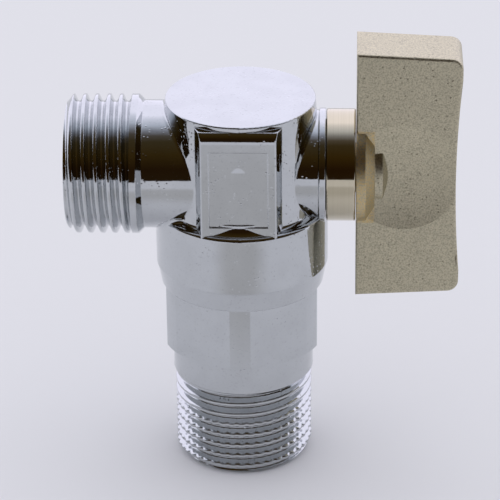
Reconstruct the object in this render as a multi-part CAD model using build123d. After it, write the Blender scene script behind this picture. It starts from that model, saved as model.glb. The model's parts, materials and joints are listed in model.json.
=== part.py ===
from build123d import *
import math
import os

# Quarter-turn angle stop valve with an L-port ball, one STEP file for each piece.
# Millimetres. The origin is the middle of the inlet's end face, +Z runs up the inlet,
# the outlet leaves towards -X and the handle stands towards +X. The valve is open.

# ---- inlet nipple, hexagon and collar, from the inlet face upwards ----
inlet_thread_run = 14.57    # inlet face to the plain shank
shank_length = 4.43         # plain shank between the thread and the hexagon
shank_radius = 10.69
hexagon_length = 10.6
hexagon_across_flats = 22.7
hexagon_corner_radius = 12.3
flare_length = 3.1          # cone between the hexagon and the collar
flare_step = 0.1            # flare's top inside the collar's outside
collar_step = 1.4           # collar's outside past the column's
collar_length = 9.2
collar_rounding = 0.6

# ---- column ----
axis_above_collar = 6.1     # outlet and stem axis over the collar's top
column_above_axis = 11.0
column_radius = 11.55
column_rim_taper = 0.45     # how far the rim lies inside the column's outside
column_taper_start = 4.0    # over the axis
column_foot_rounding = 0.75
column_rim_rounding = 0.2

# ---- raised pads on the front and the back of the column ----
pad_rise = 0.2              # pad's face past the column's outside
pad_face_width = 11.0
pad_root_width = 12.6
pad_top_above_axis = 8.7    # upper edge of the flat face
pad_top_hollow = 2.2        # radius of the hollow between the pad and the rim
pad_foot_hollow = 2.6       # radius of the hollow between the pad and the collar
pad_side_rounding = 0.3
recess_width = 8.6
recess_top_above_axis = 7.3
recess_depth = 0.25
cast_rounding = 0.6         # inside corners between the column and what stands on it

# ---- pipe threads, drawn as ridges at the true pitch ----
thread_pitch = 1.814
thread_depth = 1.05
thread_flank_angle = 27.5
inlet_crest_radius = 10.45
inlet_first_ridge = 2.07    # inlet face to the first crest
outlet_crest_radius = 10.40
outlet_ridges = 5
outlet_first_ridge = 1.75   # outlet face to the first crest
outlet_land_length = 0.95   # plain land behind the thread
outlet_land_gap = 0.5       # last crest to the land

# ---- outlet neck and stem housing, from the valve axis ----
outlet_length = 14.2        # column's outside to the outlet's face
neck_radius = 9.57
housing_radius = 8.2
housing_length = 1.05       # column's outside to the housing's end
housing_ring_radius = 8.45
housing_ring_length = 1.0
housing_edge = 0.1

# ---- waterway ----
inlet_bore_relief = 0.25    # inlet bore's radius over the chamber's
chamber_start_drop = 18.0   # ball centre down to the chamber's start
outlet_bore_radius = 6.2
outlet_port_radius = 5.2    # the narrower way from the chamber
outlet_port_length = 12.0   # valve axis to the wider outlet bore

# ---- ball and seats ----
ball_radius = 7.3
ball_port_radius = 4.6
ball_side_gap = 0.2         # ball to the chamber, and to the inlet seat's lower face
ball_roof_gap = 0.3         # ball to the chamber's end
seat_gap = 0.03             # ball to seat
seat_bore_radius = 4.9
seat_length = 3.2
upper_seat_bore_radius = 3.0
upper_seat_start = 4.4      # ball centre to the seat's lower face
roof_gap = 0.1              # seat to the chamber's end
seat_ring_gap = 0.05        # seat's outside to the chamber

# ---- seat retainer ----
retainer_length = 7.3
retainer_socket = 9.6       # across flats
retainer_socket_depth = 4.0
retainer_bore_radius = 4.7
retainer_groove_start = 1.2 # retainer's upper face to its ring groove

# ---- rubber rings: half of the section's thickness ----
retainer_ring_section = 0.53
roof_ring_section = 0.48
roof_ring_radius = 5.6
stem_ring_section = 0.575
bonnet_ring_section = 0.5
groove_side_gap = 0.12
groove_floor_gap = 0.02

# ---- stem, from the valve axis ----
stem_radius = 3.5
stem_running_gap = 0.08
shoulder_wall = 0.9         # ball to the housing's shoulder inside
stem_collar_radius = 5.6
stem_collar_length = 0.9
thrust_washer_thickness = 0.4
stem_axial_gap = 0.05
housing_bore_radius = 6.0
tang_thickness = 3.3
tang_reach = 5.65
slot_gap = 0.1
stem_ring_offsets = (1.15, 4.55)  # bonnet's inner end to each rubber ring
drive_square = 4.9
drive_square_inset = 0.1    # how far the square starts inside the bonnet
drive_square_length = 5.6   # bonnet to the stem's end

# ---- bonnet ----
bonnet_radius = 8.37
bonnet_seam = 0.08          # housing's end to the bonnet's flange
bonnet_flange_length = 4.32
bonnet_rounding = 0.25
bonnet_plug_edge = 0.2
bonnet_spot_gap = 0.25      # bonnet to the spot face cut into the collar
bonnet_plug_gap = 0.05      # plug to the outer thrust washer
spanner_hole_radius = 0.7
spanner_hole_wall = 0.55    # stem bore to the spanner holes' edge
spanner_hole_depth = 1.3

# ---- turning stop: a lug on the bonnet in a curved groove in the handle ----
turn_angle = 90.0
lug_inner_radius = 5.9
lug_outer_radius = 7.4
lug_angle = 30.0
lug_height = 0.9
lug_side_gap = 0.2
lug_end_gap = 1.0           # degrees
lug_middle = 45.0           # degrees about +X from -Z

# ---- handle ----
handle_gap = 0.1            # bonnet to handle
handle_depth = 15.4
handle_height = 39.3
handle_thickness = 9.0
handle_draft = 3.0          # degrees, on the wing's upper and lower ends
handle_corner = 1.7
handle_edge = 0.4
handle_end_hollow = 0.7
dish_radius = 45.0
dish_depth = 0.8
dish_from_hub = 7.0         # handle's inner face to the dish's middle
hub_flange_radius = 8.4
hub_flange_length = 1.35
hub_cone_radius = 6.5
hub_cone_length = 1.35
hub_button_radius = 5.45
hub_button_length = 1.2
hub_dome_radius = 3.6
hub_dome_length = 0.85
hub_dome_rounding = 0.8
hub_edge = 0.15
square_gap = 0.05
handle_web = 1.7            # between the drive square and the screw's counterbore

# ---- handle screw ----
screw_radius = 1.6
screw_depth_in_stem = 6.5
screw_tip_gap = 0.5
screw_tip_edge = 0.2
screw_clear_radius = 1.9
screw_head_radius = 2.9
screw_head_length = 2.1
screw_head_edge = 0.4
screw_socket = 2.5          # across flats
screw_socket_depth = 1.3
counterbore_radius = 3.3
lock_washer_thickness = 0.8
lock_washer_slit = 0.5

# ---- for cutting and for finding edges ----
past = 1.0                  # how far a cut runs past the metal
near = 0.02                 # how close an edge lies to where it is looked for

# ---- sizes and places that follow from the others ----
collar_radius = column_radius + collar_step
flare_top_radius = collar_radius - flare_step
column_rim_radius = column_radius - column_rim_taper
pad_reach = column_radius + pad_rise
outlet_reach = column_radius + outlet_length
housing_reach = column_radius + housing_length
bonnet_reach = housing_reach + bonnet_seam + bonnet_flange_length
drive_square_start = bonnet_reach - drive_square_inset
drive_square_end = bonnet_reach + drive_square_length
chamber_radius = ball_radius + ball_side_gap
chamber_roof = ball_radius + ball_roof_gap
inlet_bore_radius = chamber_radius + inlet_bore_relief
inlet_seat_drop = ball_radius + ball_side_gap
stem_shoulder_reach = ball_radius + shoulder_wall
shank_top = inlet_thread_run + shank_length
hexagon_top = shank_top + hexagon_length
flare_top = hexagon_top + flare_length
collar_top = flare_top + collar_length
axis_height = collar_top + axis_above_collar
column_top = axis_height + column_above_axis
handle_start = bonnet_reach + handle_gap
handle_end = handle_start + handle_depth
counterbore_floor = drive_square_end + square_gap + handle_web
thread_flank = thread_depth * math.tan(math.radians(thread_flank_angle))
thread_flat = thread_pitch / 2 - thread_flank
ridge_half = thread_flat / 2 + thread_flank
inlet_ridges = 1 + int((inlet_thread_run - inlet_first_ridge - ridge_half) / thread_pitch)
inlet_bore_depth = axis_height - chamber_start_drop


def turned(corners):
    """Turn a closed outline about Z. Each corner is (radius, height, rounding)."""
    points = [(radius, 0, height) for radius, height, rounding in corners]
    roundings = [rounding for radius, height, rounding in corners]
    outline = FilletPolyline(*points, radius=roundings, close=True)
    return revolve(make_face(outline), Axis.Z)


def ring(inner_radius, outer_radius, bottom, top):
    """A plain ring about Z."""
    return turned(
        [
            (inner_radius, bottom, 0),
            (outer_radius, bottom, 0),
            (outer_radius, top, 0),
            (inner_radius, top, 0),
        ]
    )


def round_bar(radius, bottom, top):
    """A plain round bar about Z."""
    return ring(0, radius, bottom, top)


def rubber_ring(middle_radius, section, height):
    """A ring of round section about Z."""
    return Pos(0, 0, height) * Torus(middle_radius, section)


def hexagon_bar(across_flats, bottom, top):
    """A hexagonal bar about Z with corners on +Y and -Y."""
    outline = RegularPolygon(across_flats / 2, 6, major_radius=False, rotation=30)
    return Pos(0, 0, bottom) * extrude(outline, top - bottom)


def towards_handle(shape):
    """Lay a shape that stands on +Z along +X, on the stem's axis."""
    return Pos(0, 0, axis_height) * Rot(0, 90, 0) * shape


def towards_outlet(shape):
    """Lay a shape that stands on +Z along -X, on the outlet's axis."""
    return Pos(0, 0, axis_height) * Rot(0, -90, 0) * shape


def at_ball(shape):
    """Lift a shape from the origin to the ball's centre."""
    return Pos(0, 0, axis_height) * shape


def thread_ridges(crest_radius, first, count):
    """Outline corners of thread ridges, from the first crest upwards."""
    root_radius = crest_radius - thread_depth
    corners = []
    for index in range(count):
        crest = first + index * thread_pitch
        half = thread_flat / 2
        corners.append((root_radius, crest - half - thread_flank, 0))
        corners.append((crest_radius, crest - half, 0))
        corners.append((crest_radius, crest + half, 0))
        corners.append((root_radius, crest + half + thread_flank, 0))
    return corners


def make_pad():
    """One raised pad with its shallow recess, on the -Y side of the column."""
    inside = column_radius / 2
    half_face = pad_face_width / 2
    half_root = pad_root_width / 2
    root_reach = math.sqrt(column_radius**2 - half_root**2)
    plan = Polyline(
        (-half_root, -inside),
        (-half_root, -root_reach),
        (-half_face, -pad_reach),
        (half_face, -pad_reach),
        (half_root, -root_reach),
        (half_root, -inside),
        close=True,
    )
    pad_top = axis_height + pad_top_above_axis
    top_hollow_end = pad_top + math.sqrt(
        pad_top_hollow**2 - (pad_top_hollow - (pad_reach - column_rim_radius)) ** 2
    )
    top_hollow = RadiusArc(
        (-pad_reach, pad_top), (-column_rim_radius, top_hollow_end), pad_top_hollow
    )
    side = Polyline(
        (-column_rim_radius, top_hollow_end),
        (-inside, top_hollow_end),
        (-inside, flare_top),
        (-pad_reach, flare_top),
        (-pad_reach, pad_top),
    )
    side_face = Plane.YZ * make_face(side.edges() + top_hollow.edges())
    upright = Pos(0, 0, collar_top - collar_rounding) * extrude(make_face(plan), column_top)
    sideways = extrude(side_face, pad_root_width, both=True)
    pad = upright & sideways
    side_edges = pad.edges().filter_by(Axis.Z).filter_by(
        lambda edge: edge.center().Y < -pad_reach + near
    )
    pad = fillet(side_edges, pad_side_rounding)
    recess_bottom = collar_top + pad_foot_hollow / 2
    recess_top = axis_height + recess_top_above_axis
    recess = Pos(0, -pad_reach, (recess_bottom + recess_top) / 2) * Box(
        recess_width, 2 * recess_depth, recess_top - recess_bottom
    )
    return pad - recess + make_pad_foot()


def make_pad_foot():
    """The hollow slope from a pad's lower end out to the collar's edge."""
    foot_reach = collar_radius - collar_rounding
    step = foot_reach - pad_reach
    rise = math.sqrt(pad_foot_hollow**2 - (pad_foot_hollow - step) ** 2)
    low_corner = (foot_reach, collar_top)
    high_corner = (pad_reach, collar_top + rise)
    inside = column_radius / 2
    slope = Polyline(
        high_corner,
        (inside, collar_top + rise),
        (inside, collar_top - collar_rounding),
        (foot_reach, collar_top - collar_rounding),
        low_corner,
    )
    hollow = RadiusArc(low_corner, high_corner, pad_foot_hollow)
    slope_face = Plane.XZ * make_face(slope.edges() + hollow.edges())
    foot = revolve(slope_face, Axis.Z)
    front = Pos(0, -collar_radius, collar_top) * Box(
        pad_face_width, 2 * (collar_radius - inside), 2 * collar_length
    )
    return foot & front


def make_column():
    """Inlet nipple, hexagon, collar and column, solid, about Z."""
    inlet_root = inlet_crest_radius - thread_depth
    column = turned(
        [(0, 0, 0), (inlet_root, 0, 0)]
        + thread_ridges(inlet_crest_radius, inlet_first_ridge, inlet_ridges)
        + [
            (shank_radius, inlet_thread_run, 0),
            (shank_radius, shank_top, 0),
            (hexagon_corner_radius, shank_top + (hexagon_corner_radius - shank_radius) / 2, 0),
            (hexagon_corner_radius, hexagon_top, 0),
            (flare_top_radius, flare_top, 0),
            (collar_radius, flare_top, 0),
            (collar_radius, collar_top, collar_rounding),
            (column_radius, collar_top, column_foot_rounding),
            (column_radius, axis_height + column_taper_start, 0),
            (column_rim_radius, column_top, column_rim_rounding),
            (0, column_top, 0),
        ]
    )
    blank = round_bar(collar_radius + past, shank_top - past, hexagon_top)
    return column - (blank - hexagon_bar(hexagon_across_flats, shank_top - past, hexagon_top))


def make_neck():
    """Outlet neck with its thread, solid, standing on +Z from the valve axis."""
    root_radius = outlet_crest_radius - thread_depth
    last_crest = outlet_reach - outlet_first_ridge - (outlet_ridges - 1) * thread_pitch
    last_edge = last_crest - thread_flat / 2
    land_top = last_edge - outlet_land_gap
    land_bottom = land_top - outlet_land_length
    ridges = thread_ridges(outlet_crest_radius, last_crest, outlet_ridges)
    return turned(
        [
            (0, 0, 0),
            (neck_radius, 0, 0),
            (neck_radius, land_bottom - (outlet_crest_radius - neck_radius), 0),
            (outlet_crest_radius, land_bottom, 0),
            (outlet_crest_radius, land_top, 0),
            (outlet_crest_radius - thread_depth / 2, (land_top + last_edge) / 2, 0),
        ]
        + ridges[1:-1]
        + [(root_radius, outlet_reach, 0), (0, outlet_reach, 0)]
    )


def make_housing():
    """Stem housing with the ring at its end, solid, standing on +Z from the valve axis."""
    ring_bottom = housing_reach - housing_ring_length
    return turned(
        [
            (0, 0, 0),
            (housing_radius, 0, 0),
            (housing_radius, ring_bottom, housing_edge),
            (housing_ring_radius, ring_bottom, housing_edge),
            (housing_ring_radius, housing_reach, housing_edge),
            (0, housing_reach, 0),
        ]
    )


def is_neck_seam(edge):
    """True for a long edge where the column meets the outlet neck."""
    spots = [edge @ share for share in (0.1, 0.5, 0.9)]
    return edge.length > 2 * cast_rounding and all(
        abs(math.hypot(spot.Y, spot.Z - axis_height) - neck_radius) < near
        and math.hypot(spot.X, spot.Y) < column_radius + near
        and spot.X < 0
        for spot in spots
    )


def make_valve_body():
    """The forged body with its waterway and its stem bore."""
    pad = make_pad()
    body = make_column() + pad + Rot(0, 0, 180) * pad
    body += towards_outlet(make_neck())
    body += towards_handle(make_housing())
    body = fillet(body.edges().filter_by(is_neck_seam), cast_rounding)
    chamber_top = axis_height + chamber_roof
    body -= round_bar(inlet_bore_radius, -past, inlet_bore_depth)
    body -= round_bar(chamber_radius, inlet_bore_depth, chamber_top)
    body -= towards_outlet(round_bar(outlet_port_radius, 0, outlet_port_length))
    body -= towards_outlet(round_bar(outlet_bore_radius, outlet_port_length, outlet_reach + past))
    body -= towards_handle(round_bar(stem_radius + stem_running_gap, 0, stem_shoulder_reach))
    body -= towards_handle(round_bar(housing_bore_radius, stem_shoulder_reach, housing_reach + past))
    body -= towards_handle(
        round_bar(bonnet_radius + bonnet_spot_gap, housing_reach, collar_radius + past)
    )
    return body


def make_ball():
    """Ball with one port down to the inlet, one to the outlet and a slot for the stem."""
    ball = Sphere(ball_radius)
    ball -= Sphere(ball_port_radius)
    ball -= round_bar(ball_port_radius, -ball_radius - past, 0)
    ball -= Rot(0, -90, 0) * round_bar(ball_port_radius, 0, ball_radius + past)
    slot_floor = tang_reach - slot_gap
    slot_depth = ball_radius + past - slot_floor
    slot = Box(slot_depth, 2 * ball_radius, tang_thickness + 2 * slot_gap)
    return at_ball(ball - Pos(slot_floor + slot_depth / 2, 0, 0) * slot)


def make_inlet_seat():
    """Plastic ring under the ball."""
    outer = chamber_radius - seat_ring_gap
    seat = ring(seat_bore_radius, outer, -inlet_seat_drop, -inlet_seat_drop + seat_length)
    return at_ball(seat - Sphere(ball_radius + seat_gap))


def make_upper_seat():
    """Plastic ring over the ball, with a groove for its rubber ring."""
    outer = chamber_radius - seat_ring_gap
    seat = ring(upper_seat_bore_radius, outer, upper_seat_start, chamber_roof - roof_gap)
    groove_half = roof_ring_section + groove_side_gap
    groove_floor = chamber_roof - 2 * roof_ring_section - groove_floor_gap
    seat -= ring(
        roof_ring_radius - groove_half, roof_ring_radius + groove_half, groove_floor, chamber_roof
    )
    return at_ball(seat - Sphere(ball_radius + seat_gap))


def make_upper_seat_o_ring():
    """Rubber ring between the upper seat and the chamber's end."""
    height = chamber_roof - roof_ring_section
    return at_ball(rubber_ring(roof_ring_radius, roof_ring_section, height))


def retainer_ring_height():
    """Middle of the retainer's ring groove, under the ball's centre."""
    return -inlet_seat_drop - retainer_groove_start - retainer_ring_section - groove_side_gap


def make_seat_retainer():
    """Brass ring that holds the inlet seat, turned by a hexagon key from the inlet."""
    top = -inlet_seat_drop
    bottom = top - retainer_length
    retainer = ring(retainer_bore_radius, chamber_radius, bottom, top)
    retainer -= hexagon_bar(retainer_socket, bottom - past, bottom + retainer_socket_depth)
    groove_half = retainer_ring_section + groove_side_gap
    groove_floor = chamber_radius - 2 * retainer_ring_section - groove_floor_gap
    middle = retainer_ring_height()
    retainer -= ring(groove_floor, chamber_radius + past, middle - groove_half, middle + groove_half)
    return at_ball(retainer)


def make_retainer_o_ring():
    """Rubber ring round the retainer."""
    radius = chamber_radius - retainer_ring_section
    return at_ball(rubber_ring(radius, retainer_ring_section, retainer_ring_height()))


def collar_start():
    """Inner face of the stem's collar, from the valve axis."""
    return stem_shoulder_reach + stem_axial_gap + thrust_washer_thickness


def plug_start():
    """Inner end of the bonnet's plug, from the valve axis."""
    washers = collar_start() + stem_collar_length + thrust_washer_thickness
    return washers + stem_axial_gap + bonnet_plug_gap


def make_thrust_washer(bottom):
    """Plastic washer on one face of the stem's collar."""
    washer = ring(
        stem_radius + stem_running_gap,
        stem_collar_radius,
        bottom,
        bottom + thrust_washer_thickness,
    )
    return towards_handle(washer)


def stem_ring_radius():
    """Middle radius of the rubber rings on the stem."""
    return stem_radius + stem_running_gap / 2 - stem_ring_section


def make_stem():
    """Stem with its tang, collar, ring grooves, drive square and screw hole."""
    collar_bottom = collar_start()
    stem = round_bar(stem_radius, tang_reach, drive_square_end)
    stem += round_bar(stem_collar_radius, collar_bottom, collar_bottom + stem_collar_length)
    tang_end = ball_radius + slot_gap
    tang_blank = round_bar(stem_radius + past, tang_reach - past, tang_end)
    tang_blank -= Box(tang_thickness, 2 * (stem_radius + 2 * past), 4 * tang_end)
    stem -= tang_blank
    groove_half = stem_ring_section + groove_side_gap
    groove_floor = stem_ring_radius() - stem_ring_section - groove_floor_gap
    for offset in stem_ring_offsets:
        place = plug_start() + offset
        stem -= ring(groove_floor, stem_radius + past, place - groove_half, place + groove_half)
    square_length = drive_square_end - drive_square_start
    square_middle = (drive_square_end + drive_square_start) / 2
    square_blank = round_bar(stem_radius + past, drive_square_start, drive_square_end + past)
    square = Box(drive_square, drive_square, square_length + 4 * past)
    square_blank -= Pos(0, 0, square_middle) * square
    stem -= square_blank
    screw_floor = drive_square_end - screw_depth_in_stem
    stem -= round_bar(screw_radius, screw_floor, drive_square_end + past)
    return towards_handle(stem)


def make_stem_o_ring(offset):
    """One rubber ring on the stem."""
    place = plug_start() + offset
    return towards_handle(rubber_ring(stem_ring_radius(), stem_ring_section, place))


def turning_sector(inner_radius, outer_radius, bottom, top, start, sweep):
    """A sector of a ring about Z, from start degrees on, counted from +X towards +Y."""
    section = make_face(
        Polyline(
            (inner_radius, 0, bottom),
            (outer_radius, 0, bottom),
            (outer_radius, 0, top),
            (inner_radius, 0, top),
            close=True,
        )
    )
    return Rot(0, 0, start) * revolve(section, Axis.Z, sweep)


def make_bonnet():
    """Bonnet that screws into the housing and holds the stem in."""
    flange_start = housing_reach + bonnet_seam
    bore = stem_radius + stem_running_gap
    bonnet = turned(
        [
            (bore, plug_start(), 0),
            (housing_bore_radius, plug_start(), bonnet_plug_edge),
            (housing_bore_radius, flange_start, 0),
            (bonnet_radius, flange_start, bonnet_rounding),
            (bonnet_radius, bonnet_reach, bonnet_rounding),
            (bore, bonnet_reach, 0),
        ]
    )
    pocket = 2 * (bonnet_ring_section + groove_side_gap)
    pocket_floor = housing_reach + 2 * bonnet_ring_section + groove_floor_gap
    bonnet -= ring(
        housing_bore_radius, housing_bore_radius + pocket, flange_start - past, pocket_floor
    )
    bonnet += turning_sector(
        lug_inner_radius,
        lug_outer_radius,
        bonnet_reach - past,
        bonnet_reach + lug_height,
        lug_middle - lug_angle / 2,
        lug_angle,
    )
    hole_circle = bore + spanner_hole_wall + spanner_hole_radius
    hole_floor = bonnet_reach - spanner_hole_depth
    for side in (-1, 1):
        hole = round_bar(spanner_hole_radius, hole_floor, bonnet_reach + past)
        bonnet -= Rot(0, 0, lug_middle + 90) * Pos(side * hole_circle, 0, 0) * hole
    return towards_handle(bonnet)


def make_bonnet_o_ring():
    """Rubber ring between the bonnet and the housing's end."""
    radius = housing_bore_radius + bonnet_ring_section + groove_side_gap
    height = housing_reach + bonnet_ring_section
    return towards_handle(rubber_ring(radius, bonnet_ring_section, height))


def make_wing():
    """The handle's wing without its hub, standing on +Z from the valve axis."""
    half_height = handle_height / 2
    end_half = half_height - handle_depth * math.tan(math.radians(handle_draft))
    hollow_start = end_half - 2 * handle_corner
    outline = Polyline(
        (hollow_start, 0, handle_end),
        (end_half, 0, handle_end),
        (half_height, 0, handle_start),
        (-half_height, 0, handle_start),
        (-end_half, 0, handle_end),
        (-hollow_start, 0, handle_end),
    )
    hollow = ThreePointArc(
        (-hollow_start, 0, handle_end),
        (0, 0, handle_end - handle_end_hollow),
        (hollow_start, 0, handle_end),
    )
    wing = extrude(make_face(outline.edges() + hollow.edges()), handle_thickness / 2, both=True)
    outer_corners = wing.edges().filter_by(Axis.Y).group_by(Axis.Z)[-1].filter_by(
        lambda edge: abs(edge.center().X) > end_half - near
    )
    wing = fillet(outer_corners, handle_corner)
    faces_by_side = wing.edges().group_by(Axis.Y)
    wing = fillet(faces_by_side[0] + faces_by_side[-1], handle_edge)
    for side in (-1, 1):
        dish_middle = side * (handle_thickness / 2 - dish_depth + dish_radius)
        wing -= Pos(0, dish_middle, handle_start + dish_from_hub) * Sphere(dish_radius)
    return wing


def make_hub():
    """The handle's round hub, standing on +Z from the valve axis."""
    cone_start = handle_start + hub_flange_length
    button_start = cone_start + hub_cone_length
    dome_start = button_start + hub_button_length
    return turned(
        [
            (0, handle_start, 0),
            (hub_flange_radius, handle_start, hub_edge),
            (hub_flange_radius, cone_start, hub_edge),
            (hub_cone_radius, button_start, 0),
            (hub_button_radius, button_start, hub_edge),
            (hub_button_radius, dome_start, hub_edge),
            (hub_dome_radius, dome_start + hub_dome_length, hub_dome_rounding),
            (0, dome_start + hub_dome_length, 0),
        ]
    )


def make_handle():
    """Handle with its drive square, counterbore and the curved groove of the turning stop."""
    handle = make_wing() + make_hub()
    square = drive_square + 2 * square_gap
    square_depth = drive_square_end + square_gap - handle_start
    square_hole = Box(square, square, square_depth + past)
    handle -= Pos(0, 0, handle_start + (square_depth - past) / 2) * square_hole
    handle -= round_bar(screw_clear_radius, handle_start, handle_end)
    handle -= round_bar(counterbore_radius, counterbore_floor, handle_end + past)
    groove_floor = bonnet_reach + lug_height + lug_side_gap
    handle -= turning_sector(
        lug_inner_radius - lug_side_gap,
        lug_outer_radius + lug_side_gap,
        handle_start - past,
        groove_floor,
        lug_middle - lug_angle / 2 - lug_end_gap,
        lug_angle + turn_angle + 2 * lug_end_gap,
    )
    return towards_handle(handle)


def make_handle_spring_washer():
    """Split spring washer under the handle screw's head."""
    top = counterbore_floor + lock_washer_thickness
    washer = ring(screw_clear_radius, screw_head_radius, counterbore_floor, top)
    slit = Pos(screw_head_radius, 0, top) * Box(
        2 * screw_clear_radius, lock_washer_slit, 4 * lock_washer_thickness
    )
    return towards_handle(washer - slit)


def make_handle_screw():
    """Screw that holds the handle on the stem."""
    head_start = counterbore_floor + lock_washer_thickness
    head_end = head_start + screw_head_length
    tip = drive_square_end - screw_depth_in_stem + screw_tip_gap
    screw = turned(
        [
            (0, tip, 0),
            (screw_radius, tip, screw_tip_edge),
            (screw_radius, head_start, 0),
            (screw_head_radius, head_start, 0),
            (screw_head_radius, head_end, screw_head_edge),
            (0, head_end, 0),
        ]
    )
    screw -= hexagon_bar(screw_socket, head_end - screw_socket_depth, head_end + past)
    return towards_handle(screw)


outer_washer_start = collar_start() + stem_collar_length

pieces = {
    "valve_body": make_valve_body(),
    "ball": make_ball(),
    "inlet_seat": make_inlet_seat(),
    "upper_seat": make_upper_seat(),
    "upper_seat_o_ring": make_upper_seat_o_ring(),
    "seat_retainer": make_seat_retainer(),
    "retainer_o_ring": make_retainer_o_ring(),
    "stem": make_stem(),
    "stem_thrust_washer_inner": make_thrust_washer(collar_start() - thrust_washer_thickness),
    "stem_thrust_washer_outer": make_thrust_washer(outer_washer_start),
    "stem_o_ring_inner": make_stem_o_ring(stem_ring_offsets[0]),
    "stem_o_ring_outer": make_stem_o_ring(stem_ring_offsets[1]),
    "bonnet": make_bonnet(),
    "bonnet_o_ring": make_bonnet_o_ring(),
    "handle": make_handle(),
    "handle_spring_washer": make_handle_spring_washer(),
    "handle_screw": make_handle_screw(),
}

os.makedirs("parts", exist_ok=True)
for name, piece in pieces.items():
    export_step(piece, f"parts/{name}.step")
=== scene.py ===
"""Looks of a quarter-turn angle stop valve: its finishes, its pipe threads and a plain pale studio.

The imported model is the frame. Lengths are in metres, +Z runs up the inlet, the outlet leaves
towards -X and the handle stands towards +X.
"""

import json
import logging
import math
from dataclasses import dataclass, field
from enum import Enum

import bmesh
import bpy
from mathutils import Matrix, Vector


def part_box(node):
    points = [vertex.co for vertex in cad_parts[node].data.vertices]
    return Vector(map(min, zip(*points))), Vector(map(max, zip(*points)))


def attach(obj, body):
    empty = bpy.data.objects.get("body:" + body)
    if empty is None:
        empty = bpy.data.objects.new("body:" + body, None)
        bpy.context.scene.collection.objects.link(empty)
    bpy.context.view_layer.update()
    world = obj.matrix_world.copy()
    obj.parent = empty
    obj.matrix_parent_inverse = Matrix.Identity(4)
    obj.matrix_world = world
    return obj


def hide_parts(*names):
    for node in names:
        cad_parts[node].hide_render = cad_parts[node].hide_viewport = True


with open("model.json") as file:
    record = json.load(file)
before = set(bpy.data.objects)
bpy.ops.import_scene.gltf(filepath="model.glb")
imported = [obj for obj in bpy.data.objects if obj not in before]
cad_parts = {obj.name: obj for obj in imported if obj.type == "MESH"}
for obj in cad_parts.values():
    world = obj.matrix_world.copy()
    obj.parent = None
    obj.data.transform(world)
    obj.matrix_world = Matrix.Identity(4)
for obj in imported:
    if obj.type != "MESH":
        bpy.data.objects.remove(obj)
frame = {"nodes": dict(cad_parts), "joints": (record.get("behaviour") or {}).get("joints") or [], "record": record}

MM = 0.001
TURN = 2 * math.pi
TURN_DEGREES = 360
WELD = 2e-6  # metres: points nearer than this are one
CORNERS = 3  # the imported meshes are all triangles

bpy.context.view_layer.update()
AXIS_HEIGHT = frame["joints"][0]["pos_m"][2]  # the stem's and the outlet's axis
MOUNTS = {mount["name"]: mount for mount in frame["record"]["mounts"]}

Colour = tuple[float, float, float, float]
Band = tuple[float, float]

log = logging.getLogger("angle_stop_valve")


class Body(Enum):
    """The bodies of the frame that pieces ride on."""

    VALVE = "valve"
    TURNING_SET = "turning_set"


class Slot(Enum):
    """The record's material slots."""

    CHROME_PLATE = "chrome_plate"
    BALL_CHROME = "ball_chrome"
    TURNED_NICKEL = "turned_nickel"
    BLASTED_NICKEL = "blasted_nickel"
    TURNED_BRASS = "turned_brass"
    SEAT_PLASTIC = "seat_plastic"
    BLACK_RUBBER = "black_rubber"
    ZINC_STEEL = "zinc_steel"


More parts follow.
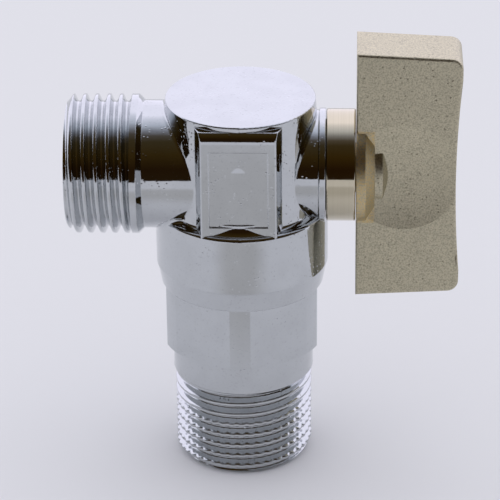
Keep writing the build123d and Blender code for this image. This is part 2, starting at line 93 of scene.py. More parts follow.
class Graph:
    """A node tree with short ways to add nodes and to join them."""

    def __init__(self, tree: bpy.types.NodeTree) -> None:
        """Start from an empty tree.

        Args:
            tree: The material's or the world's node tree.
        """
        self.tree = tree
        tree.nodes.clear()

    def feed(self, socket: bpy.types.NodeSocket, value: object) -> None:
        """Link an output to a socket, or set the socket to a plain value.

        Args:
            socket: The input to fill.
            value: Another node's output, a number, a colour or a vector.
        """
        if isinstance(value, bpy.types.NodeSocket):
            self.tree.links.new(value, socket)
        else:
            socket.default_value = value

    def add(self, kind: str, inputs: dict | None = None, **settings: object) -> bpy.types.Node:
        """Add one node.

        Args:
            kind: Blender's name for the node type.
            inputs: Values or outputs for its inputs, by name or number.
            settings: The node's own settings.

        Returns:
            The new node.
        """
        node = self.tree.nodes.new(kind)
        for name, value in settings.items():
            setattr(node, name, value)
        for key, value in (inputs or {}).items():
            self.feed(node.inputs[key], value)
        return node

    def math(self, operation: str, first: object, second: object = 0.0) -> bpy.types.NodeSocket:
        """Add a Math node.

        Args:
            operation: The kind of sum, such as "MULTIPLY".
            first: Its first value or output.
            second: Its second value or output.

        Returns:
            The result's socket.
        """
        return self.add("ShaderNodeMath", {0: first, 1: second}, operation=operation).outputs[0]

    def place(self) -> bpy.types.NodeSocket:
        """The place on the piece, in metres in the shared frame."""
        return self.add("ShaderNodeTexCoord").outputs["Object"]

    def noise(self, place: object, size: float, detail: float = 2.0, rough: float = 0.5,
              ) -> bpy.types.NodeSocket:
        """Add soft noise.

        Args:
            place: The vector that the noise reads.
            size: The size of its blobs in metres.
            detail: How many finer layers it has.
            rough: How strong the finer layers are.

        Returns:
            The noise, from 0 to 1.
        """
        inputs = {"Vector": place, "Scale": 1 / size, "Detail": detail, "Roughness": rough}
        return self.add("ShaderNodeTexNoise", inputs).outputs[0]

    def cells(self, place: object, size: float) -> bpy.types.NodeSocket:
        """Add scattered dots.

        Args:
            place: The vector that the dots read.
            size: The distance between dots in metres.

        Returns:
            The distance to the nearest dot, in shares of that size.
        """
        inputs = {"Vector": place, "Scale": 1 / size}
        return self.add("ShaderNodeTexVoronoi", inputs).outputs["Distance"]

    def between(self, value: object, low: float, high: float, bottom: float = 0.0,
                top: float = 1.0) -> bpy.types.NodeSocket:
        """Map a range of a value to another range, clamped, with soft ends.

        Args:
            value: The output to map.
            low: The value that gives bottom.
            high: The value that gives top.
            bottom: The lowest result.
            top: The highest result.

        Returns:
            The mapped value.
        """
        inputs = {0: value, 1: low, 2: high, 3: bottom, 4: top}
        node = self.add("ShaderNodeMapRange", inputs, interpolation_type="SMOOTHSTEP")
        return node.outputs[0]

    def mix(self, share: object, first: object, second: object) -> bpy.types.NodeSocket:
        """Blend two colours.

        Args:
            share: How much of the second shows.
            first: A colour or output.
            second: A colour or output.

        Returns:
            The blend.
        """
        inputs = {0: share, 6: first, 7: second}  # 6 and 7 are the two colours of an RGBA mix
        return self.add("ShaderNodeMix", inputs, data_type="RGBA").outputs[2]

    def bump(self, height: object, depth: float, under: object = None) -> bpy.types.NodeSocket:
        """Add relief.

        Args:
            height: The relief, from 0 to 1.
            depth: Its full height in metres.
            under: The normal of relief that lies under it.

        Returns:
            The new normal.
        """
        inputs = {"Height": height, "Distance": depth, "Strength": 1.0}
        if under is not None:
            inputs["Normal"] = under
        return self.add("ShaderNodeBump", inputs).outputs[0]

    def eased_edges(self, radius: float, samples: int = 6) -> bpy.types.NodeSocket:
        """Ease sharp edges by a small radius.

        Args:
            radius: The radius in metres.
            samples: How many rays feel for the edges.

        Returns:
            The eased normal.
        """
        return self.add("ShaderNodeBevel", {"Radius": radius}, samples=samples).outputs[0]

    def about_stem(self, place: object) -> tuple[bpy.types.NodeSocket, bpy.types.NodeSocket]:
        """Measure a place against the stem's axis.

        Args:
            place: The place on the piece.

        Returns:
            How far it lies along the axis, and how far out from it.
        """
        split = self.add("ShaderNodeSeparateXYZ", {0: place})
        height = self.math("SUBTRACT", split.outputs[2], AXIS_HEIGHT)
        across = self.add("ShaderNodeCombineXYZ", {0: 0.0, 1: split.outputs[1], 2: height})
        out = self.add("ShaderNodeVectorMath", {0: across.outputs[0]}, operation="LENGTH")
        return split.outputs[0], out.outputs["Value"]

    def shader(self, inputs: dict) -> None:
        """Close the tree with a Principled shader.

        Args:
            inputs: Values or outputs for the shader's sockets.
        """
        principled = self.add("ShaderNodeBsdfPrincipled", inputs)
        self.add("ShaderNodeOutputMaterial", {"Surface": principled.outputs[0]})


@dataclass(frozen=True)
class Finish:
    """What every finish has: a slot, a colour and a way to make its material."""

    slot: Slot
    colour: Colour
    roughness: float

    def material(self) -> bpy.types.Material:
        """Make the finish's material once, under a name of its own.

        Returns:
            The material.
        """
        name = self.slot.value + "_finish"
        if name not in bpy.data.materials:
            made = bpy.data.materials.new(name)
            made.use_nodes = True
            self.draw(Graph(made.node_tree))
        return bpy.data.materials[name]

    def draw(self, graph: Graph) -> None:
        """Draw the finish's nodes; each finish has its own."""
        raise NotImplementedError

    def tint(self, share: float) -> Colour:
        """The colour, darker or lighter by a share."""
        return tuple(channel * share for channel in self.colour[:3]) + (1.0,)

    def tints(self, shares: Band) -> tuple[Colour, Colour]:
        """The colour by each of two shares."""
        return self.tint(shares[0]), self.tint(shares[1])


@dataclass(frozen=True)
class ChromePlate(Finish):
    """Bright chrome over a forging, with orange peel, small pits in patches, faint haze and a painted reflection
    mottle in its colour.
    """

    slot: Slot = Slot.CHROME_PLATE
    colour: Colour = (0.54, 0.56, 0.575, 1.0)
    roughness: float = 0.035
    edge_radius: float = 0.22 * MM
    peel_size: float = 1.3 * MM
    peel_depth: float = 0.008 * MM
    pit_size: float = 0.55 * MM
    pit_depth: float = 0.03 * MM
    pit_rim: Band = (0.30, 0.08)
    patch_size: float = 2.75 * MM
    patch_rim: Band = (0.5, 0.64)
    cloud_size: float = 3.9 * MM
    haze: float = 0.06
    haze_rim: Band = (0.45, 0.75)
    # tone and speckle: a painted reflection mottle in the plate's colour
    tone_rim: Band = (0.35, 0.7)
    tone_shares: Band = (1.0, 0.95)
    speckle_size: float = 0.35 * MM
    speckle_rim: Band = (0.58, 0.72)
    speckle_reach: Band = (0.0, 0.5)
    speckle_share: float = 0.75

    def draw(self, graph: Graph) -> None:
        """Draw the plate: waves, then pits in some patches, then faint haze and a painted reflection mottle in its
        colour.

        Args:
            graph: The material's node tree.
        """
        place = graph.place()
        peel = graph.noise(place, self.peel_size, detail=1.0)
        patches = graph.between(graph.noise(place, self.patch_size), *self.patch_rim)
        pits = graph.between(graph.cells(place, self.pit_size), *self.pit_rim)
        pitted = graph.math("MULTIPLY", pits, patches)
        waves = graph.bump(peel, self.peel_depth, graph.eased_edges(self.edge_radius))
        normal = graph.bump(pitted, self.pit_depth, waves)
        cloud = graph.noise(place, self.cloud_size, detail=3.0)
        haze = graph.between(cloud, *self.haze_rim, self.roughness, self.haze)
        # Painted reflection: the cloudy tone and the fine dark speckle stand in for the mottled reflections of the
        # surroundings in the plate.
        reflection_tone = graph.mix(graph.between(cloud, *self.tone_rim), *self.tints(self.tone_shares))
        reflection_speckle = graph.noise(place, self.speckle_size, detail=3.0)
        speckle = graph.between(reflection_speckle, *self.speckle_rim, *self.speckle_reach)
        colour = graph.mix(speckle, reflection_tone, self.tint(self.speckle_share))
        graph.shader({"Base Color": colour, "Metallic": 1.0, "Roughness": haze, "Normal": normal})


@dataclass(frozen=True)
class BallChrome(Finish):
    """Hard chrome on a lapped ball."""

    slot: Slot = Slot.BALL_CHROME
    colour: Colour = (0.58, 0.59, 0.60, 1.0)
    roughness: float = 0.06
    lap_size: float = 0.25 * MM
    lap_depth: float = 0.001 * MM
    lap_shares: Band = (0.92, 1.05)
    cloud_size: float = 3 * MM
    sheen: float = 0.14
    sheen_rim: Band = (0.3, 0.7)

    def draw(self, graph: Graph) -> None:
        """Draw fine lapping marks in a cloudy sheen.

        Args:
            graph: The material's node tree.
        """
        place = graph.place()
        lapped = graph.noise(place, self.lap_size, detail=4.0)
        normal = graph.bump(lapped, self.lap_depth)
        cloud = graph.noise(place, self.cloud_size)
        sheen = graph.between(cloud, *self.sheen_rim, self.roughness, self.sheen)
        colour = graph.mix(lapped, *self.tints(self.lap_shares))
        graph.shader({"Base Color": colour, "Metallic": 1.0, "Roughness": sheen, "Normal": normal})


@dataclass(frozen=True)
class TurnedMetal(Finish):
    """Metal off a lathe, with fine rings about the stem's axis."""

    groove: float = 0.14 * MM
    groove_depth: float = 0.004 * MM
    groove_shares: Band = (0.88, 1.08)
    cloud_size: float = 2 * MM
    sheen: float = 0.12
    sheen_rim: Band = (0.3, 0.75)

    def rings(self, graph: Graph, place: object) -> bpy.types.NodeSocket:
        """Fine rings that a lathe tool leaves.

        Args:
            graph: The material's node tree.
            place: The place on the piece.

        Returns:
            Noise that changes only along the axis and outwards from it.
        """
        along, out = graph.about_stem(place)
        lathe = graph.add("ShaderNodeCombineXYZ", {0: along, 1: out})
        return graph.noise(lathe.outputs[0], self.groove, detail=3.0, rough=0.6)

    def draw(self, graph: Graph) -> None:
        """Draw the rings, with a cloudy sheen over them.

        Args:
            graph: The material's node tree.
        """
        place = graph.place()
        rings = self.rings(graph, place)
        cloud = graph.noise(place, self.cloud_size, detail=4.0)
        normal = graph.bump(cloud, self.groove_depth, graph.bump(rings, self.groove_depth))
        sheen = graph.between(cloud, *self.sheen_rim, self.roughness, self.sheen)
        shade = graph.mix(rings, *self.tints(self.groove_shares))
        graph.shader({"Base Color": shade, "Metallic": 1.0, "Roughness": sheen, "Normal": normal})


@dataclass(frozen=True)
class BlastedNickel(Finish):
    """Nickel plate over a blasted casting: fine grain, dark pits and painted gold glints on the hub's foot."""

    slot: Slot = Slot.BLASTED_NICKEL
    colour: Colour = (0.60, 0.555, 0.41, 1.0)
    roughness: float = 0.33
    rough_rise: float = 0.16
    rough_rim: Band = (0.2, 0.8)
    edge_radius: float = 0.2 * MM
    grain_size: float = 0.24 * MM
    grain_depth: float = 0.045 * MM
    grain_rim: Band = (0.32, 0.62)
    grain_share: float = 0.62
    pit_size: float = 0.7 * MM
    pit_depth: float = 0.04 * MM
    pit_rim: Band = (0.08, 0.26)
    pit_share: float = 0.35
    pit_strength: float = 0.7
    patch_size: float = 2.1 * MM
    patch_rim: Band = (0.4, 0.58)
    cloud_size: float = 4 * MM
    cloud_shares: Band = (0.9, 1.08)
    # painted gold glints on the hub's foot: their colour, reach and flecks
    hub_glint_colour: Colour = (0.62, 0.48, 0.24, 1.0)
    hub_radius: float = 8.6 * MM
    hub_fade_out: float = 0.2 * MM
    hub_end: float = 20.0 * MM
    hub_fade_along: float = 0.4 * MM
    fleck_rim: Band = (0.42, 0.6)
    fleck_reach: Band = (0.25, 1.0)

    def hub_glint_area(self, graph: Graph, place: object) -> bpy.types.NodeSocket:
        """Where the painted gold glints go on the hub's foot.

        Args:
            graph: The material's node tree.
            place: The place on the piece.

        Returns:
            1 on the hub's flange and cone, 0 elsewhere.
        """
        along, out = graph.about_stem(place)
        inside = graph.between(out, self.hub_radius + self.hub_fade_out, self.hub_radius)
        low = graph.between(along, self.hub_end, self.hub_end - self.hub_fade_along)
        return graph.math("MULTIPLY", inside, low)

    def draw(self, graph: Graph) -> None:
        """Draw the grain, the pits, the plate's uneven tone and the painted gold glints on the hub.

        Args:
            graph: The material's node tree.
        """
        place = graph.place()
        grain = graph.noise(place, self.grain_size, detail=3.0, rough=0.6)
        grained = graph.bump(grain, self.grain_depth, graph.eased_edges(self.edge_radius))
        patches = graph.between(graph.noise(place, self.patch_size), *self.patch_rim)
        dots = graph.between(graph.cells(place, self.pit_size), *self.pit_rim)
        pits = graph.math("MULTIPLY", graph.math("SUBTRACT", 1.0, dots), patches)
        normal = graph.bump(graph.math("SUBTRACT", 1.0, pits), self.pit_depth, grained)
        cloud = graph.noise(place, self.cloud_size, detail=4.0)
        tone = graph.mix(cloud, *self.tints(self.cloud_shares))
        lit_grain = graph.between(grain, *self.grain_rim)
        speckled = graph.mix(lit_grain, self.tint(self.grain_share), tone)
        depth = graph.math("MULTIPLY", pits, self.pit_strength)
        pitted = graph.mix(depth, speckled, self.tint(self.pit_share))
        # Painted glints: gold flecks on the hub's flange and cone stand in for warm highlights there.
        flecks = graph.noise(place, self.grain_size, detail=2.0)
        fleck = graph.between(flecks, *self.fleck_rim, *self.fleck_reach)
        hub_glint = graph.math("MULTIPLY", self.hub_glint_area(graph, place), fleck)
        colour = graph.mix(hub_glint, pitted, self.hub_glint_colour)
        roughest = self.roughness + self.rough_rise
        rough = graph.between(grain, *self.rough_rim, self.roughness, roughest)
        graph.shader({"Base Color": colour, "Metallic": 1.0, "Roughness": rough, "Normal": normal})


@dataclass(frozen=True)
class SeatPlastic(Finish):
    """Waxy white seat plastic with soft mottling."""

    slot: Slot = Slot.SEAT_PLASTIC
    colour: Colour = (0.80, 0.79, 0.75, 1.0)
    roughness: float = 0.38
    roughest: float = 0.5
    rough_rim: Band = (0.3, 0.7)
    mottle_size: float = 1.5 * MM
    mottle_shares: Band = (0.93, 1.03)
    skin_size: float = 0.2 * MM
    skin_depth: float = 0.004 * MM
    glow: float = 0.1
    glow_reach: float = 1 * MM

    def draw(self, graph: Graph) -> None:
        """Draw soft mottling and a fine skin.

        Args:
            graph: The material's node tree.
        """
        place = graph.place()
        mottle = graph.noise(place, self.mottle_size, detail=3.0)
        colour = graph.mix(mottle, *self.tints(self.mottle_shares))
        normal = graph.bump(graph.noise(place, self.skin_size, detail=2.0), self.skin_depth)
        rough = graph.between(mottle, *self.rough_rim, self.roughness, self.roughest)
        graph.shader({
            "Base Color": colour, "Roughness": rough, "Normal": normal,
            "Subsurface Weight": self.glow, "Subsurface Scale": self.glow_reach,
        })


@dataclass(frozen=True)
class BlackRubber(Finish):
    """Black nitrile rubber, greased here and there."""

    slot: Slot = Slot.BLACK_RUBBER
    colour: Colour = (0.022, 0.022, 0.024, 1.0)
    roughness: float = 0.32
    roughest: float = 0.62
    rough_rim: Band = (0.35, 0.65)
    grease_size: float = 1.8 * MM
    grease_shares: Band = (0.8, 1.4)
    skin_size: float = 0.12 * MM
    skin_depth: float = 0.005 * MM

    def draw(self, graph: Graph) -> None:
        """Draw a dull skin with greasy patches.

        Args:
            graph: The material's node tree.
        """
        place = graph.place()
        grease = graph.noise(place, self.grease_size, detail=2.0)
        colour = graph.mix(grease, *self.tints(self.grease_shares))
        normal = graph.bump(graph.noise(place, self.skin_size, detail=3.0), self.skin_depth)
        rough = graph.between(grease, *self.rough_rim, self.roughness, self.roughest)
        graph.shader({"Base Color": colour, "Roughness": rough, "Normal": normal})


CHROME = ChromePlate()
BALL = BallChrome()
NICKEL = TurnedMetal(Slot.TURNED_NICKEL, (0.56, 0.51, 0.39, 1.0), roughness=0.05, sheen=0.09)
BRASS = TurnedMetal(Slot.TURNED_BRASS, (0.72, 0.52, 0.24, 1.0), roughness=0.16, sheen=0.3)
ZINC = TurnedMetal(
    Slot.ZINC_STEEL, (0.52, 0.53, 0.55, 1.0), roughness=0.2, sheen=0.34, groove=0.09 * MM,
)
BLASTED = BlastedNickel()
PLASTIC = SeatPlastic()
RUBBER = BlackRubber()


def dress(node: str, finish: Finish) -> None:
    """Give a CAD node its finish.

    Args:
        node: The node's name.
        finish: The finish that it gets.
    """
    slots = frame["nodes"][node].data.materials
    slots.clear()
    slots.append(finish.material())
    log.info("%s: %s", node, finish.slot.value)


def add_piece(name: str, bm: bmesh.types.BMesh, finish: Finish, body: Body) -> bpy.types.Object:
    """Turn a bmesh into a piece that rides on a body.

    Args:
        name: The piece's name.
        bm: Its mesh, which is freed.
        finish: Its finish.
        body: The body that it rides on.

    Returns:
        The new object.
    """
    mesh = bpy.data.meshes.new(name)
    bm.to_mesh(mesh)
    bm.free()
    mesh.materials.append(finish.material())
    piece = bpy.data.objects.new(name, mesh)
    bpy.context.scene.collection.objects.link(piece)
    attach(piece, body.value)
    log.info("%s: %d faces", name, len(mesh.polygons))
    return piece


@dataclass
class PipeThread:
    """A helical pipe thread that closes onto a plain circle at each end."""

    name: str
    length: float
    crest_radius: float
    end_radius: float
    first_crest: float
    lead_in: float = 1.1 * MM
    run_out: float = 1.0 * MM
    pitch: float = 1.814 * MM
    depth: float = 1.05 * MM
    crest_flat: float = 0.2 * MM
    root_flat: float = 0.16 * MM
    teeth: int = 0
    tooth_depth: float = 0.2 * MM
    toothed_length: float = 0.0
    steps: int = 180
    rows: int = 12
    sharp_angle: float = math.radians(50)

    @property
    def root_radius(self) -> float:
        """The radius at the root, which is also the face's outer edge."""
        return self.crest_radius - self.depth

    def ridge(self, place: float) -> float:
        """The thread's radius before its ends are shaped.

        Args:
            place: Turns along the thread, with crests at whole numbers.

        Returns:
            The radius in metres.
        """
        away = abs(place - round(place)) * self.pitch
        flank = self.pitch / 2 - self.root_flat
        share = min(1.0, max(0.0, (flank - away) / (flank - self.crest_flat)))
        rounded = share * share * (3 - 2 * share)
        return self.root_radius + self.depth * (share + rounded) / 2

    def tooth(self, radius: float, angle: float, height: float) -> float:
        """How deep the teeth cut into a crest at one place.

        Args:
            radius: The plain ridge's radius there.
            angle: The angle about the axis in radians.
            height: The height over the thread's face.

        Returns:
            The cut in metres, which fades out over the last toothed turn.
        """
        half = self.depth / 2
        crest = max(0.0, (radius - self.crest_radius + half) / half)
        wave = (1 - math.cos(self.teeth * angle)) / 2
        fade = min(1.0, (self.toothed_length - height) / self.pitch)
        return self.tooth_depth * crest * fade * wave * wave

    def radius(self, angle: float, height: float) -> float:
        """The thread's radius at one place.

        Args:
            angle: The angle about the axis in radians.
            height: The height over the thread's face.

        Returns:
            The radius in metres.
        """
        radius = self.ridge((height - self.first_crest) / self.pitch - angle / TURN)
        if self.teeth and height < self.toothed_length:
            radius -= self.tooth(radius, angle, height)
        entry = self.root_radius + self.depth * height / self.lead_in
        rise = max(0.0, 1 - (self.length - height) / self.run_out)
        end = self.root_radius + rise * (self.end_radius - self.root_radius)
        return max(min(radius, entry), end)

    def tube(self) -> bmesh.types.BMesh:
        """Spin one pitch of a plain tube up its axis, stack as many as it takes and trim the ends.

        Returns:
            The tube about +Z, with its face at the origin.
        """
        bm = bmesh.new()
        low = bm.verts.new((self.crest_radius, 0, -self.pitch))
        high = bm.verts.new((self.crest_radius, 0, 0))
        line = bm.edges.new((low, high))
        bmesh.ops.subdivide_edges(bm, edges=[line], cuts=self.rows - 1)
        bmesh.ops.spin(
            bm, geom=bm.verts[:] + bm.edges[:], cent=(0, 0, 0), axis=(0, 0, 1),
            dvec=(0, 0, self.pitch / self.steps), angle=TURN, steps=self.steps,
            use_merge=False, use_duplicate=False,
        )
        first_turn = bm.verts[:] + bm.edges[:] + bm.faces[:]
        for turn in range(1, math.ceil(self.length / self.pitch) + 1):
            made = bmesh.ops.duplicate(bm, geom=first_turn)["geom"]
            copied = [part for part in made if isinstance(part, bmesh.types.BMVert)]
            bmesh.ops.translate(bm, vec=(0, 0, turn * self.pitch), verts=copied)
        bmesh.ops.remove_doubles(bm, verts=bm.verts, dist=WELD)
        for height, side in ((0.0, -1), (self.length, 1)):
            bmesh.ops.bisect_plane(
                bm, geom=bm.verts[:] + bm.edges[:] + bm.faces[:], dist=WELD / 2,
                plane_co=(0, 0, height), plane_no=(0, 0, side), clear_outer=True,
            )
        return bm

    def mesh(self) -> bmesh.types.BMesh:
        """Press the ridges into the tube, with the faces turned outwards.

        Returns:
            The thread about +Z, with its face at the origin.
        """
        bm = self.tube()
        for vert in bm.verts:
            angle = math.atan2(vert.co.y, vert.co.x)
            radius = self.radius(angle, vert.co.z)
            vert.co.x = radius * math.cos(angle)
            vert.co.y = radius * math.sin(angle)
        bmesh.ops.remove_doubles(bm, verts=bm.verts, dist=WELD)
        bmesh.ops.recalc_face_normals(bm, faces=bm.faces)
        outward = sum(face.normal.xy.dot(face.calc_center_median().xy) for face in bm.faces)
        if outward < 0:
            bmesh.ops.reverse_faces(bm, faces=bm.faces)
        return bm

    def build(self, place: Matrix) -> bpy.types.Object:
        """Make the thread and put it where it belongs.

        Args:
            place: The turn and shift from its own axis to the valve.

        Returns:
            The finished piece.
        """
        bm = self.mesh()
        bmesh.ops.transform(bm, matrix=place, verts=bm.verts)
        for face in bm.faces:
            face.smooth = True
        piece = add_piece(self.name, bm, CHROME, Body.VALVE)
        piece.data.set_sharp_from_angle(angle=self.sharp_angle)
        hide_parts("valve_body")
        return piece


@dataclass
class ValveBody:
    """The forged body: its plain shell and the two pipe threads."""

    outlet_reach: float
    ridge_floor: float = 9.2 * MM  # the plain ridges lie further out than this
    inlet_run: float = 14.57 * MM
    inlet_crest: float = 2.07 * MM
    shank_radius: float = 10.69 * MM
    teeth: int = 44
    toothed_length: float = 10.6 * MM
    steps_per_tooth: int = 8
    outlet_land: float = 16.064 * MM  # valve axis to the end of the thread
    outlet_crest: float = 1.75 * MM
    outlet_lead_in: float = 0.9 * MM
    outlet_run_out: float = 0.35 * MM

    def in_inlet_thread(self, centre: Vector) -> bool:
        """Tell a face of the inlet's plain ridges.

        Args:
            centre: The face's middle.

        Returns:
            Whether the helical thread stands for it.
        """
        out = math.hypot(centre.x, centre.y)
        return out > self.ridge_floor and centre.z < self.inlet_run

    def in_outlet_thread(self, centre: Vector) -> bool:
        """Tell a face of the outlet's plain ridges.

        Args:
            centre: The face's middle.

        Returns:
            Whether the helical thread stands for it.
        """
        out = math.hypot(centre.y, centre.z - AXIS_HEIGHT)
        return out > self.ridge_floor and centre.x < -self.outlet_land

    def shell(self) -> bpy.types.Object:
        """Copy the body without its plain ridges, with the exact normals of its round faces.

        Returns:
            The shell, which stands for the body.
        """
        source = frame["nodes"]["valve_body"].data
        bm = bmesh.new()
        bm.from_mesh(source)
        origin = bm.faces.layers.int.new("source_face")
        for face in bm.faces:
            face[origin] = face.index
        bmesh.ops.remove_doubles(bm, verts=bm.verts, dist=WELD / 2)
        ridges = []
        for face in bm.faces:
            centre = face.calc_center_median()
            if self.in_inlet_thread(centre) or self.in_outlet_thread(centre):
                ridges.append(face)
        bmesh.ops.delete(bm, geom=ridges, context="FACES")
        piece = add_piece("body_shell", bm, CHROME, Body.VALVE)
        mesh = piece.data
        kept = [0] * len(mesh.polygons)
        mesh.attributes["source_face"].data.foreach_get("value", kept)
        exact = [corner.vector.to_tuple() for corner in source.corner_normals]
        starts = [polygon.loop_start for polygon in source.polygons]
        normals = [exact[starts[face] + corner] for face in kept for corner in range(CORNERS)]
        mesh.normals_split_custom_set(normals)
        mesh.attributes.remove(mesh.attributes["source_face"])
        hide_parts("valve_body")
        return piece

    def inlet_thread(self) -> PipeThread:
        """The inlet's thread, with toothed crests that hold the sealing tape."""
        return PipeThread(
            name="inlet_thread", length=self.inlet_run, end_radius=self.shank_radius,
            crest_radius=MOUNTS["inlet_thread"]["dims"]["r_mm"] * MM, first_crest=self.inlet_crest,
            teeth=self.teeth, toothed_length=self.toothed_length,
            steps=self.teeth * self.steps_per_tooth,
        )

    def outlet_thread(self) -> PipeThread:
        """The outlet's thread, which ends in a land as wide as its crests."""
        crest_radius = MOUNTS["outlet_thread"]["dims"]["r_mm"] * MM
        return PipeThread(
            name="outlet_thread", length=self.outlet_reach - self.outlet_land,
            end_radius=crest_radius, crest_radius=crest_radius, first_crest=self.outlet_crest,
            lead_in=self.outlet_lead_in, run_out=self.outlet_run_out,
        )

    def build(self) -> None:
        """Make the shell and both threads."""
        self.shell()
        self.inlet_thread().build(Matrix.Identity(4))
        outlet_face = Matrix.Translation((-self.outlet_reach, 0, AXIS_HEIGHT))
        self.outlet_thread().build(outlet_face @ Matrix.Rotation(TURN / 4, 4, "Y"))


@dataclass
class Waterway:
    """The ball, its seats and the retainer in the body's bore."""

    seats: tuple[str, ...] = ("inlet_seat", "upper_seat")
    rings: tuple[str, ...] = ("upper_seat_o_ring", "retainer_o_ring")

    def build(self) -> None:
        """Dress every piece of the waterway."""
        dress("ball", BALL)
        dress("seat_retainer", BRASS)
        for node in self.seats:
            dress(node, PLASTIC)
        for node in self.rings:
            dress(node, RUBBER)


@dataclass
class StemSet:
    """The stem, its washers and rings, and the bonnet that holds it in."""

    washers: tuple[str, ...] = ("stem_thrust_washer_inner", "stem_thrust_washer_outer")
    rings: tuple[str, ...] = ("stem_o_ring_inner", "stem_o_ring_outer", "bonnet_o_ring")

    def build(self) -> None:
        """Dress every piece of the stem set."""
        dress("stem", BRASS)
        dress("bonnet", NICKEL)
        for node in self.washers:
            dress(node, PLASTIC)
        for node in self.rings:
            dress(node, RUBBER)


@dataclass
class HandleSet:
    """The handle with its screw and spring washer."""

    fasteners: tuple[str, ...] = ("handle_spring_washer", "handle_screw")

    def build(self) -> None:
        """Dress the handle and its fasteners."""
        dress("handle", BLASTED)
        for node in self.fasteners:
            dress(node, ZINC)


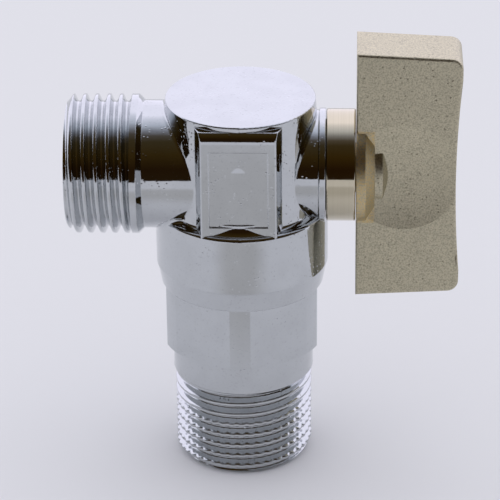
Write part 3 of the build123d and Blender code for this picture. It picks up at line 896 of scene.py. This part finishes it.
@dataclass
class Studio:
    """A pale table top in front of a bright wall, with a dim room behind the camera."""

    azimuth: float = math.radians(2.168)
    elevation: float = math.radians(27.368)
    roll: float = math.radians(-0.626)
    distance: float = 431.86 * MM
    aim: tuple[float, float, float] = (1.172 * MM, 0.0, 33.557 * MM)
    lens: float = 205.69  # millimetres, as is the sensor
    sensor: float = 36.0
    clip_start: float = 10 * MM
    floor_front: float = 0.47
    floor_back: float = 2.0
    floor_side: float = 1.5
    floor_drop: float = 0.05 * MM
    floor_colour: Colour = (0.70, 0.70, 0.765, 1.0)
    floor_pale: Colour = (0.714, 0.714, 0.7803, 1.0)
    floor_mottle: float = 0.3
    floor_roughness: float = 0.9
    # a painted shadow of the camera on the table: its colour, middle and reach
    camera_shadow_colour: Colour = (0.55, 0.545, 0.57, 1.0)
    camera_shadow_middle: tuple[float, float, float] = (0.0, -95 * MM, 0.0)
    camera_shadow_reach: Band = (62 * MM, 22 * MM)
    wall_colour: Colour = (0.72, 0.72, 0.80, 1.0)
    dull_colour: Colour = (1.0, 1.0, 1.0, 1.0)
    dull_light: Band = (0.72, 1.25)
    dull_turns: Band = (0.3, 2.2)  # radians from the camera's side, over the top
    # What shiny faces see: degrees from the camera's side, over the top, and the light there.
    room: list[tuple[float, Colour]] = field(default_factory=lambda: [
        (-180.0, (1.35, 1.31, 1.53, 1.0)),
        (-150.0, (1.0, 1.0, 1.1, 1.0)),
        (-60.0, (0.03, 0.02, 0.008, 1.0)),
        (15.0, (0.022, 0.010, 0.003, 1.0)),
        (40.0, (0.045, 0.026, 0.006, 1.0)),
        (64.0, (0.055, 0.040, 0.018, 1.0)),
        (75.0, (0.10, 0.085, 0.07, 1.0)),
        (85.0, (0.29, 0.30, 0.35, 1.0)),
        (96.0, (0.67, 0.71, 0.83, 1.0)),
        (110.0, (1.0, 1.01, 1.17, 1.0)),
        (120.0, (1.36, 1.33, 1.53, 1.0)),
        (180.0, (1.35, 1.31, 1.53, 1.0)),
    ])

    def camera(self) -> None:
        """Make the camera and aim it."""
        back = Vector((
            math.sin(self.azimuth) * math.cos(self.elevation),
            -math.cos(self.azimuth) * math.cos(self.elevation),
            math.sin(self.elevation),
        ))
        data = bpy.data.cameras.new("camera")
        data.sensor_width = self.sensor
        data.lens = self.lens
        data.clip_start = self.clip_start
        camera = bpy.data.objects.new("camera", data)
        bpy.context.scene.collection.objects.link(camera)
        level = (-back).to_track_quat("-Z", "Y").to_matrix().to_4x4()
        spot = Matrix.Translation(Vector(self.aim) + self.distance * back)
        camera.matrix_world = spot @ level @ Matrix.Rotation(self.roll, 4, "Z")
        bpy.context.scene.camera = camera

    def floor_material(self) -> bpy.types.Material:
        """Make the table top's matt white, with a painted shadow of the camera in a patch in front of the valve.

        Returns:
            The material.
        """
        material = bpy.data.materials.new("floor")
        material.use_nodes = True
        graph = Graph(material.node_tree)
        place = graph.place()
        mottle = graph.noise(place, self.floor_mottle, detail=1.0)
        lit = graph.mix(mottle, self.floor_colour, self.floor_pale)
        # Painted shadow: a soft darker, greyer patch in front of the valve stands in for the camera's shadow on
        # the table.
        ends = {0: place, 1: self.camera_shadow_middle}
        away = graph.add("ShaderNodeVectorMath", ends, operation="DISTANCE")
        dim = graph.between(away.outputs["Value"], *self.camera_shadow_reach)
        colour = graph.mix(dim, lit, self.camera_shadow_colour)
        rough = self.floor_roughness
        graph.shader({"Base Color": colour, "Roughness": rough, "Specular IOR Level": 0.0})
        return material

    def floor(self) -> None:
        """Make the table top under the valve, from a square one metre wide."""
        bm = bmesh.new()
        bmesh.ops.create_grid(bm, x_segments=1, y_segments=1, size=0.5)
        depth = self.floor_front + self.floor_back
        bmesh.ops.scale(bm, vec=(2 * self.floor_side, depth, 1), verts=bm.verts)
        middle = (self.floor_back - self.floor_front) / 2
        bmesh.ops.translate(bm, vec=(0, middle, -self.floor_drop), verts=bm.verts)
        mesh = bpy.data.meshes.new("floor")
        bm.to_mesh(mesh)
        bm.free()
        mesh.materials.append(self.floor_material())
        floor = bpy.data.objects.new("floor", mesh)
        bpy.context.scene.collection.objects.link(floor)

    def room_light(self, graph: Graph, turn: object) -> bpy.types.NodeSocket:
        """Draw the room that shiny faces see, as bands of light about the X axis.

        Args:
            graph: The world's node tree.
            turn: The angle from the camera's side, over the top, in radians.

        Returns:
            The room's colour in each direction.
        """
        inputs = {0: turn, 1: 1 / TURN, 2: 0.5}  # the ramp runs half a turn either way
        share = graph.add("ShaderNodeMath", inputs, operation="MULTIPLY_ADD")
        ramp = graph.add("ShaderNodeValToRGB", {0: share.outputs[0]})
        stops = ramp.color_ramp.elements
        while len(stops) > 1:
            stops.remove(stops[0])
        for index, (angle, colour) in enumerate(self.room):
            position = angle / TURN_DEGREES + 0.5
            stop = stops.new(position) if index else stops[0]
            stop.position = position
            stop.color = colour
        return ramp.outputs[0]

    def surroundings(self) -> None:
        """Make the world: the camera sees a wall, dull faces even light and shiny faces the room."""
        world = bpy.data.worlds.new("studio")
        bpy.context.scene.world = world
        world.use_nodes = True
        world.cycles.sampling_method = "NONE"
        graph = Graph(world.node_tree)
        direction = graph.add("ShaderNodeTexCoord").outputs["Generated"]
        split = graph.add("ShaderNodeSeparateXYZ", {0: direction})
        toward = graph.math("MULTIPLY", split.outputs[1], -1.0)
        turn = graph.math("ARCTAN2", split.outputs[2], toward)
        room = self.room_light(graph, turn)
        even = graph.between(turn, *self.dull_turns, *self.dull_light)
        seen = graph.add("ShaderNodeBackground", {"Color": self.wall_colour, "Strength": 1.0})
        shiny = graph.add("ShaderNodeBackground", {"Color": room, "Strength": 1.0})
        dull = graph.add("ShaderNodeBackground", {"Color": self.dull_colour, "Strength": even})
        path = graph.add("ShaderNodeLightPath").outputs
        faces = {0: path["Is Glossy Ray"], 1: dull.outputs[0], 2: shiny.outputs[0]}
        lit = graph.add("ShaderNodeMixShader", faces)
        views = {0: path["Is Camera Ray"], 1: lit.outputs[0], 2: seen.outputs[0]}
        shown = graph.add("ShaderNodeMixShader", views)
        graph.add("ShaderNodeOutputWorld", {0: shown.outputs[0]})

    def build(self) -> None:
        """Make the camera, the table and the light."""
        bpy.context.scene.view_settings.view_transform = "Standard"
        self.camera()
        self.floor()
        self.surroundings()


def main() -> None:
    """Build the studio and every sub-assembly in order."""
    logging.basicConfig(level=logging.INFO, format="%(name)s %(message)s")
    Studio().build()
    ValveBody(outlet_reach=-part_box("valve_body")[0].x).build()
    Waterway().build()
    StemSet().build()
    HandleSet().build()


if __name__ == "__main__":
    main()
